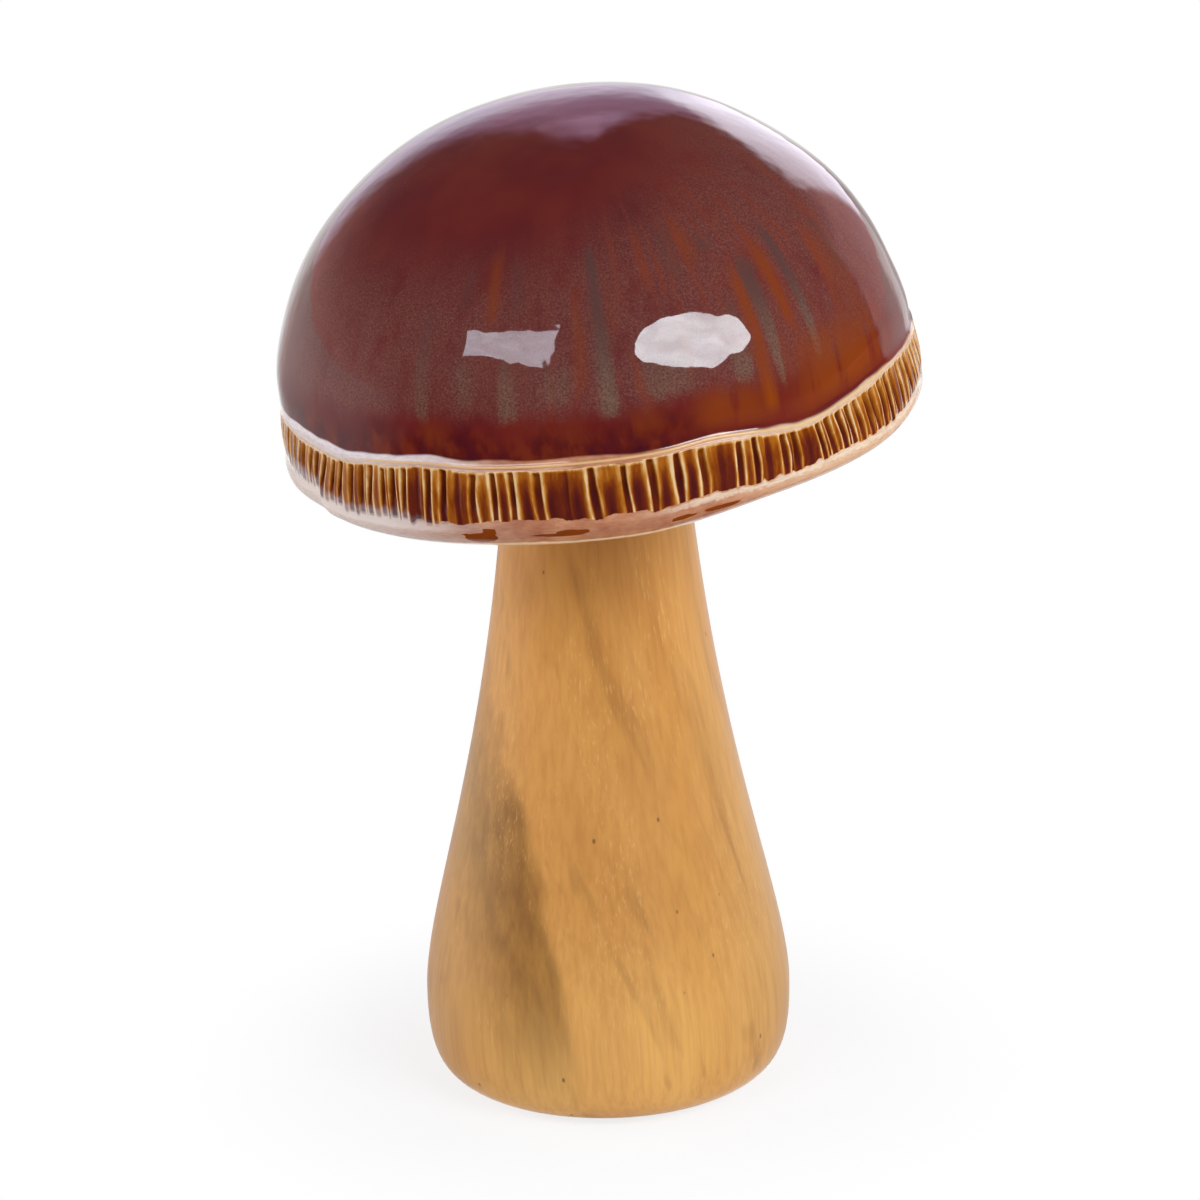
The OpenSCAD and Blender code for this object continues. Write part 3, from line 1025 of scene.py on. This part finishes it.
def add_figure(r, colour, place, slanted):
    """The slanting brown figure, with paler wood beside it, and a painted sheen that pales the colour
    towards the sides of the stem.
    """
    height = r.along(place, TO_TOP)
    across = r.along(place, TO_RIGHT)
    side = r.plus(across, r.times(height, height, FIGURE_BEND))
    side = r.plus(r.plus(side, FIGURE_SHIFT), r.sway(r.stretch(slanted, 0.15), 90, 0.008))
    streaks = r.noise(r.stretch(slanted, 0.06), 240, 3, 0.6)
    ragged_top = r.plus(height, r.times(streaks, 0.03))
    ends = r.times(r.between(height, *FIGURE_FADE), r.between(ragged_top, *FIGURE_TOP))
    ragged_back = r.plus(r.along(place, TO_BACK), r.times(streaks, 0.02))
    front = r.between(ragged_back, *FIGURE_BACK)
    figure = r.times(r.between(side, *FIGURE_EDGE), r.between(side, FIGURE_END, FIGURE_FULL), ends, front)
    brown = r.ramp(streaks, (0.3, 118, 76, 22), (0.5, 144, 97, 34), (0.7, 168, 117, 46))
    beside = r.times(r.between(side, *FIGURE_EDGE[::-1]), r.between(side, *FIGURE_PALE), front)
    colour = r.paint(colour, (212, 150, 74), beside, 0.6)
    colour = r.mix(r.times(figure, 0.85), colour, brown)
    # Painted sheen: the colour pales towards the stem's sides, standing in for the grazing sheen at its
    # edges
    outwards = r.plus(r.absolute(across), r.times(height, SIDES_SHEEN_TAPER))
    return r.paint(colour, (206, 170, 104), r.between(outwards, *SIDES_PAINTED_SHEEN), 0.4)


def wood_material():
    """Oiled wood: golden, with a slanting brown figure, pale pores and a few dark specks."""
    r = Recipe(bpy.data.materials.new("oiled_wood"))
    place = r.place()
    slanted = r.tilted(place, FIGURE_ANGLE)
    grain = r.tilted(place, GRAIN_ANGLE)
    broad = r.noise(r.stretch(slanted, 0.12), 60, 3, 0.5)
    golden = (0.36, 180, 118, 46), (0.5, 191, 129, 52), (0.66, 202, 142, 64)
    across = r.along(place, TO_RIGHT)
    # Painted light: the middle of the foot is painted paler, standing in for light thrown up by the white
    # floor
    foot = r.times(r.between(across, *FOOT_PAINTED_LIGHT_RIGHT), r.between(across, *FOOT_PAINTED_LIGHT_LEFT))
    foot = r.times(foot, r.between(r.along(place, TO_TOP), *FOOT_PAINTED_LIGHT_HEIGHT))
    colour = r.mix(r.times(foot, 0.8), r.ramp(broad, *golden), srgb(250, 194, 106))
    colour = add_figure(r, colour, place, slanted)
    lines = r.noise(r.stretch(slanted, 0.02), 200, 2, 0.5)
    colour = r.paint(colour, (140, 92, 34), r.between(lines, 0.58, 0.7), 0.3)
    fibre = r.noise(r.stretch(grain, 0.03), 900, 3, 0.6)
    colour = r.mix(0.5, colour, r.ramp(fibre, (0.32, 226, 214, 200), (0.6, 255, 255, 255)), "MULTIPLY")
    pores = r.noise(r.stretch(grain, 0.08), 2800, 1, 0.4)
    clusters = r.between(r.noise(r.stretch(grain, 0.2), 110, 2), 0.4, 0.65)
    colour = r.paint(colour, (226, 180, 108), r.between(pores, 0.6, 0.7), clusters, 0.28)
    cells = {"Vector": r.stretch(grain, 0.6), "Scale": 160.0}
    specks = r.node("TexVoronoi", cells).outputs["Distance"]
    colour = r.paint(colour, (92, 58, 26), r.between(specks, 0.06, 0.03), 0.7)
    r.set(Base_Color=colour, Roughness=0.5, Specular_IOR_Level=0.45)
    r.set(Sheen_Weight=0.6, Sheen_Roughness=0.35, Sheen_Tint=srgb(255, 248, 238))
    r.bump(fibre, 0.00003)
    return r.owner


def plain_material(name, light, dark, scale, roughness, nap):
    """Two close colours mottled at one scale, for the small half-hidden pieces."""
    r = Recipe(bpy.data.materials.new(name))
    mottle = r.noise(r.place(), scale, 4, 0.7)
    r.set(Base_Color=r.ramp(mottle, (0.3, *dark), (0.7, *light)), Roughness=roughness)
    r.bump(mottle, nap)
    return r.owner


def dress(piece, material):
    piece.data.materials.clear()
    piece.data.materials.append(material)


# Corners of the round sheets
SHEET_CORNERS = 96


def make_sheet(name, radius, height):
    """A round flat sheet on the floor, with its middle at the object."""
    turns = around(SHEET_CORNERS)
    edge = [(radius * math.cos(turn), radius * math.sin(turn), height) for turn in turns]
    mesh = bpy.data.meshes.new(name)
    mesh.from_pydata(edge, [], [tuple(range(SHEET_CORNERS))])
    sheet = add_object(name, mesh)
    return sheet


# The floor, in metres: white from a little way off, and with the shadow of the object round its foot
FLOOR_RADIUS = 6.0
SHADOW_NEAR = 0.035
SHADOW_FAR = 0.085
SHADOW_WHITE = 0.8


def make_floor():
    floor = make_sheet("floor", FLOOR_RADIUS, 0.0)
    r = Recipe(bpy.data.materials.new("pale_floor"))
    r.set(Base_Color=srgb(244, 244, 246), Roughness=0.9, Specular_IOR_Level=0.0)
    ray = r.node("LightPath", {}).outputs
    seen = r.plus(r.plus(ray["Is Camera Ray"], ray["Is Glossy Ray"]), ray["Is Transmission Ray"])
    far = r.between(r.length(r.place()), SHADOW_NEAR, SHADOW_FAR)
    share = r.times(r.plus(r.times(far, 1 - SHADOW_WHITE), SHADOW_WHITE), seen)
    white = r.node("Emission", {"Color": WHITE, "Strength": 1.0}).outputs["Emission"]
    surface = r.tree.nodes["Principled BSDF"].outputs["BSDF"]
    both = r.node("MixShader", {0: share, 1: surface, 2: white}).outputs["Shader"]
    r.feed(r.tree.nodes["Material Output"].inputs["Surface"], both)
    dress(floor, r.owner)


# A dark red cloth on the floor, which only the glaze's reflections meet. It covers the floor in front, half
# of it at the sides and none behind. Lengths are in metres, angles in radians from straight behind
CLOTH_COLOUR = (0.16, 0.04, 0.03, 1.0)
CLOTH_LIFT = 0.002
CLOTH_START = (0.0, 0.045)
RIGHT_SIDE = (0.15, 0.3)
RIGHT_FRONT = (0.98, 1.06)
LEFT_SIDE = (-0.3, -0.6)
LEFT_FRONT = (-1.5, -2.0)
# The cloth leaves a strip of the floor open, which shows along the glaze's right edge
STRIP_TURN = 0.45
STRIP_HALF = (0.05, 0.12)


def make_dark_cloth():
    cloth = make_sheet("dark_cloth", FLOOR_RADIUS, CLOTH_LIFT)
    for kind in ("camera", "diffuse", "transmission", "shadow"):
        setattr(cloth, "visible_" + kind, False)
    r = Recipe(bpy.data.materials.new("dark_cloth"))
    turn = r.turn(r.place())
    side = r.plus(r.between(turn, *RIGHT_SIDE), r.between(turn, *LEFT_SIDE))
    front = r.plus(r.between(turn, *RIGHT_FRONT), r.between(turn, *LEFT_FRONT))
    beside_strip = r.between(r.absolute(r.plus(turn, -STRIP_TURN)), *STRIP_HALF)
    started = r.between(r.length(r.place()), *CLOTH_START)
    r.set(Base_Color=CLOTH_COLOUR, Roughness=1.0, Specular_IOR_Level=0.0)
    r.set(Alpha=r.times(r.plus(side, front), 0.5, started, beside_strip))
    dress(cloth, r.owner)


# The height that the studio lamps stand round and face, and their distance from there, in metres
LAMP_HEIGHT = 0.13
LAMP_DISTANCE = 1.1
# How unevenly the softboxes' cloth glows, and how finely
CLOUDINESS = 0.8
CLOUD_SCALE = 3.5


def make_lamp(name, shape, turn, rise, roll, size, radiance, colour, mirrored=True):
    """A softbox at a turn from the front and a height in degrees, as bright as its radiance."""
    lamp = bpy.data.lights.new(name, "AREA")
    lamp.shape = shape
    lamp.size, lamp.size_y = size
    area = lamp.size * lamp.size_y * (math.pi / 4 if shape == "ELLIPSE" else 1)
    lamp.energy = radiance * math.pi * area
    lamp.color = colour
    r = Recipe(lamp)
    cloudy = r.noise(r.node("NewGeometry", {}).outputs["Parametric"], CLOUD_SCALE, 1.0)
    glow = r.plus(r.times(cloudy, CLOUDINESS), 1 - CLOUDINESS / 2)
    r.feed(r.tree.nodes["Emission"].inputs["Strength"], glow)
    holder = add_object(name, lamp)
    turn, rise = math.radians(turn), math.radians(rise)
    out = Vector((math.sin(turn) * math.cos(rise), -math.cos(turn) * math.cos(rise), math.sin(rise)))
    holder.location = Vector((0, 0, LAMP_HEIGHT)) + LAMP_DISTANCE * out
    aim = (-out).to_track_quat("-Z", "Y").to_matrix()
    holder.rotation_euler = (aim @ Matrix.Rotation(math.radians(roll), 3, "Z")).to_euler()
    holder.visible_camera = False
    holder.visible_glossy = mirrored


# What the glaze mirrors: the dim room low and high, its two sides, the wall behind low, high and in a paler
# patch, and the bright pane
ROOM_LOW = (0.04, 0.04, 0.04, 1.0)
ROOM_HIGH = (0.1, 0.1, 0.11, 1.0)
ROOM_LEFT = (0.62, 0.37, 0.36, 1.0)
ROOM_RIGHT = (0.72, 0.46, 0.48, 1.0)
WALL_LOW = (1.25, 1.15, 1.4, 1.0)
WALL_HIGH = (0.76, 0.54, 0.82, 1.0)
WALL_PATCH = (1.4, 1.0, 1.5, 1.0)
PANE = (2.3, 2.25, 2.6, 1.0)


def make_world():
    """A dim studio with a lavender wall behind the object, a bright pane right of it and rosy sides."""
    world = bpy.data.worlds.new("studio")
    r = Recipe(world)
    way = r.place("Generated")
    turn = r.turn(way)
    up = r.along(way, TO_TOP)
    colour = r.mix(r.between(up, 0, 0.25), ROOM_LOW, ROOM_HIGH)
    left = r.times(r.between(turn, -0.1, -0.5), r.between(turn, -2, -1.4), r.between(up, 0.5, -0.05))
    colour = r.mix(left, colour, ROOM_LEFT)
    right = r.times(r.between(turn, 0.2, 0.34), r.between(turn, 1.06, 0.98), r.between(up, 0.5, 0.3))
    colour = r.mix(right, colour, ROOM_RIGHT)
    slope = r.plus(turn, r.times(up, -0.5))
    end = r.plus(turn, r.times(up, 0.5))
    wall = r.times(r.between(slope, -0.62, -0.32), r.between(end, 0.5, 0.36), r.between(up, 0.82, 0.72))
    patch = r.times(r.between(r.absolute(r.plus(turn, 0.07)), 0.25, 0.08), r.between(up, 0.5, 0.6))
    shade = r.mix(patch, r.mix(r.between(up, 0.1, 0.4), WALL_LOW, WALL_HIGH), WALL_PATCH)
    colour = r.mix(wall, colour, shade)
    top = r.plus(up, r.times(turn, -0.85))
    pane = r.times(r.between(turn, 0.04, 0.16), r.between(slope, 0.46, 0.36), r.between(top, 0.2, 0.1))
    pane = r.times(pane, r.between(up, 0.5, 0.4))
    colour = r.mix(pane, colour, PANE)
    r.feed(r.tree.nodes["Background"].inputs["Color"], colour)
    bpy.context.scene.world = world


def make_light():
    make_lamp("right_octabox", "ELLIPSE", 39.1, 30, -6.6, (0.845, 0.43), 10.2, (0.92, 0.98, 1.03))
    make_lamp("left_softbox", "RECTANGLE", -36.4, 34.2, 9.3, (0.665, 0.315), 5.2, (0.86, 0.91, 1.03))
    make_lamp("right_fill", "RECTANGLE", 105, 8, 0, (0.9, 0.7), 3.6, (0.95, 0.97, 1.03), mirrored=False)
    make_lamp("left_fill", "RECTANGLE", -100, 4, 0, (0.9, 0.6), 5.0, (1.0, 0.98, 0.95), mirrored=False)
    make_world()
    bpy.context.scene.view_settings.view_transform = "Standard"


make_camera()
dress(make_cap(), glaze_material())
dress(make_stem(), wood_material())
dress(make_pad(), plain_material("felt", (70, 62, 58), (36, 32, 30), 2500.0, 0.95, 0.0003))
dress(nodes["dowel"], plain_material("beech", (216, 186, 140), (188, 152, 104), 300.0, 0.6, 0.0001))
glue = plain_material("set_glue", (226, 216, 190), (200, 186, 150), 500.0, 0.3, 0.0001)
dress(nodes["glue_ring"], glue)
make_floor()
make_dark_cloth()
make_light()
